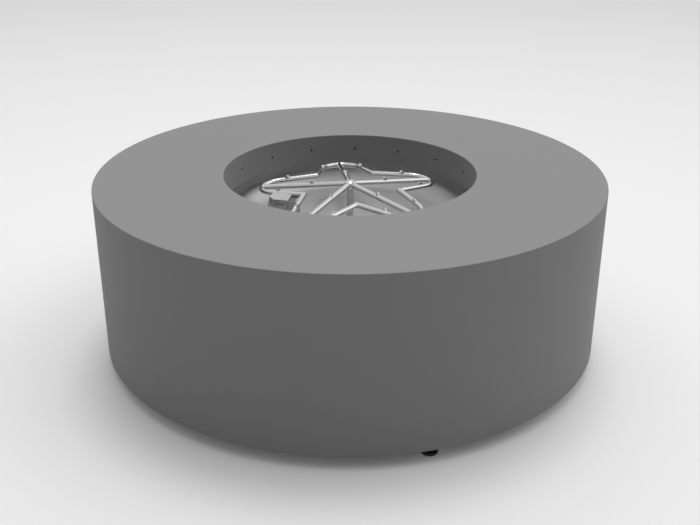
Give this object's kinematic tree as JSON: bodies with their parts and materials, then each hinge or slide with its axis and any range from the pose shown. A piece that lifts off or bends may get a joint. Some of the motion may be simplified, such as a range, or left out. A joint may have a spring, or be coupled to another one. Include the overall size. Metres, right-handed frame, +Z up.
{
  "type": "fire pit table",
  "caption": "Round concrete fire pit table with a recessed steel bowl, a star-shaped gas burner with igniter, a gas train underneath and levelling feet.",
  "frame": {"origin": "centre of the table at floor level, under the feet", "axes": "+Z up, +X to the right as seen from the front, -Y towards the picture's viewer"},
  "size_m": [1.2188, 1.219, 0.438],
  "materials": {
    "concrete": "smooth matt cast concrete",
    "brass": "machined",
    "brushed_pan": "brushed stainless sheet",
    "burner_steel": "satin stainless tube",
    "igniter_sheet": "satin stainless sheet",
    "igniter_ceramic": "matt unglazed",
    "plated_steel": "zinc plated",
    "galvanised_steel": "galvanised plate",
    "black_plastic": "moulded, satin",
    "rubber": "matt",
    "sleeve_fabric": "woven glass sleeve",
    "braided_hose": "braided stainless",
    "coil_plastic": "moulded, satin",
    "red_grip": "dipped vinyl",
    "grey_enamel": "satin powder coat"
  },
  "bodies": {
    "table": {"concrete_shell": "concrete", "collar_inserts": "brass", "bowl_pan": "brushed_pan", "pan_bolts": "plated_steel", "bracket_bolts": "plated_steel", "foot_bracket_1": "galvanised_steel", "foot_bracket_2": "galvanised_steel", "foot_bracket_3": "galvanised_steel", "foot_bracket_4": "galvanised_steel", "burner_hub": "burner_steel", "loop_jets": "burner_steel", "spoke_jets": "burner_steel", "burner_spoke_1": "burner_steel", "burner_spoke_2": "burner_steel", "burner_spoke_3": "burner_steel", "burner_spoke_4": "burner_steel", "burner_spoke_5": "burner_steel", "star_loop_1": "burner_steel", "star_loop_2": "burner_steel", "star_loop_3": "burner_steel", "star_loop_4": "burner_steel", "star_loop_5": "burner_steel", "igniter_housing": "igniter_sheet", "igniter_cover": "igniter_sheet", "igniter_fins": "igniter_sheet", "igniter_legs": "igniter_sheet", "hot_surface_igniter": "igniter_ceramic", "flame_sensor": "plated_steel", "pilot_tube": "brass", "igniter_cable": "sleeve_fabric", "riser_pipe": "plated_steel", "riser_nuts": "plated_steel", "riser_elbow": "brass", "train_pipe": "plated_steel", "solenoid_body": "brass", "solenoid_coil": "coil_plastic", "gas_hose": "braided_hose", "hose_fittings": "brass", "valve_body": "brass", "valve_bracket": "galvanised_steel", "gas_inlet": "brass", "control_box": "grey_enamel", "control_lid": "grey_enamel", "box_hangers": "galvanised_steel"},
    "foot_1": {"foot_pad_1": "black_plastic", "foot_sole_1": "rubber"},
    "stud_1": {"foot_stud_1": "plated_steel"},
    "foot_2": {"foot_pad_2": "black_plastic", "foot_sole_2": "rubber"},
    "stud_2": {"foot_stud_2": "plated_steel"},
    "foot_3": {"foot_pad_3": "black_plastic", "foot_sole_3": "rubber"},
    "stud_3": {"foot_stud_3": "plated_steel"},
    "foot_4": {"foot_pad_4": "black_plastic", "foot_sole_4": "rubber"},
    "stud_4": {"foot_stud_4": "plated_steel"},
    "shutoff_handle": {"valve_ball": "plated_steel", "valve_stem": "plated_steel", "valve_lever": "red_grip"}
  },
  "joints": [
    {"name": "foot_slide_1", "type": "slide", "parent": "table", "child": "foot_1", "axis": [0, 0, -1], "range_m": [0, 0.02]},
    {"name": "stud_turn_1", "type": "hinge", "parent": "foot_1", "child": "stud_1", "pos_m": [0.16592, -0.5427, 0.02], "axis": [0, 0, -1], "range_deg": [0, 4800]},
    {"name": "foot_slide_2", "type": "slide", "parent": "table", "child": "foot_2", "axis": [0, 0, -1], "range_m": [0, 0.02]},
    {"name": "stud_turn_2", "type": "hinge", "parent": "foot_2", "child": "stud_2", "pos_m": [0.5427, 0.16592, 0.02], "axis": [0, 0, -1], "range_deg": [0, 4800]},
    {"name": "foot_slide_3", "type": "slide", "parent": "table", "child": "foot_3", "axis": [0, 0, -1], "range_m": [0, 0.02]},
    {"name": "stud_turn_3", "type": "hinge", "parent": "foot_3", "child": "stud_3", "pos_m": [-0.16592, 0.5427, 0.02], "axis": [0, 0, -1], "range_deg": [0, 4800]},
    {"name": "foot_slide_4", "type": "slide", "parent": "table", "child": "foot_4", "axis": [0, 0, -1], "range_m": [0, 0.02]},
    {"name": "stud_turn_4", "type": "hinge", "parent": "foot_4", "child": "stud_4", "pos_m": [-0.5427, -0.16592, 0.02], "axis": [0, 0, -1], "range_deg": [0, 4800]},
    {"name": "shutoff_turn", "type": "hinge", "parent": "table", "child": "shutoff_handle", "pos_m": [0.5245, 0, 0.112], "axis": [-1, 0, 0], "range_deg": [0, 90]}
  ],
  "couplings": [
    {"joint": "stud_turn_1", "follows": "foot_slide_1", "rad_per_m": 4188.8},
    {"joint": "stud_turn_2", "follows": "foot_slide_2", "rad_per_m": 4188.8},
    {"joint": "stud_turn_3", "follows": "foot_slide_3", "rad_per_m": 4188.8},
    {"joint": "stud_turn_4", "follows": "foot_slide_4", "rad_per_m": 4188.8}
  ]
}
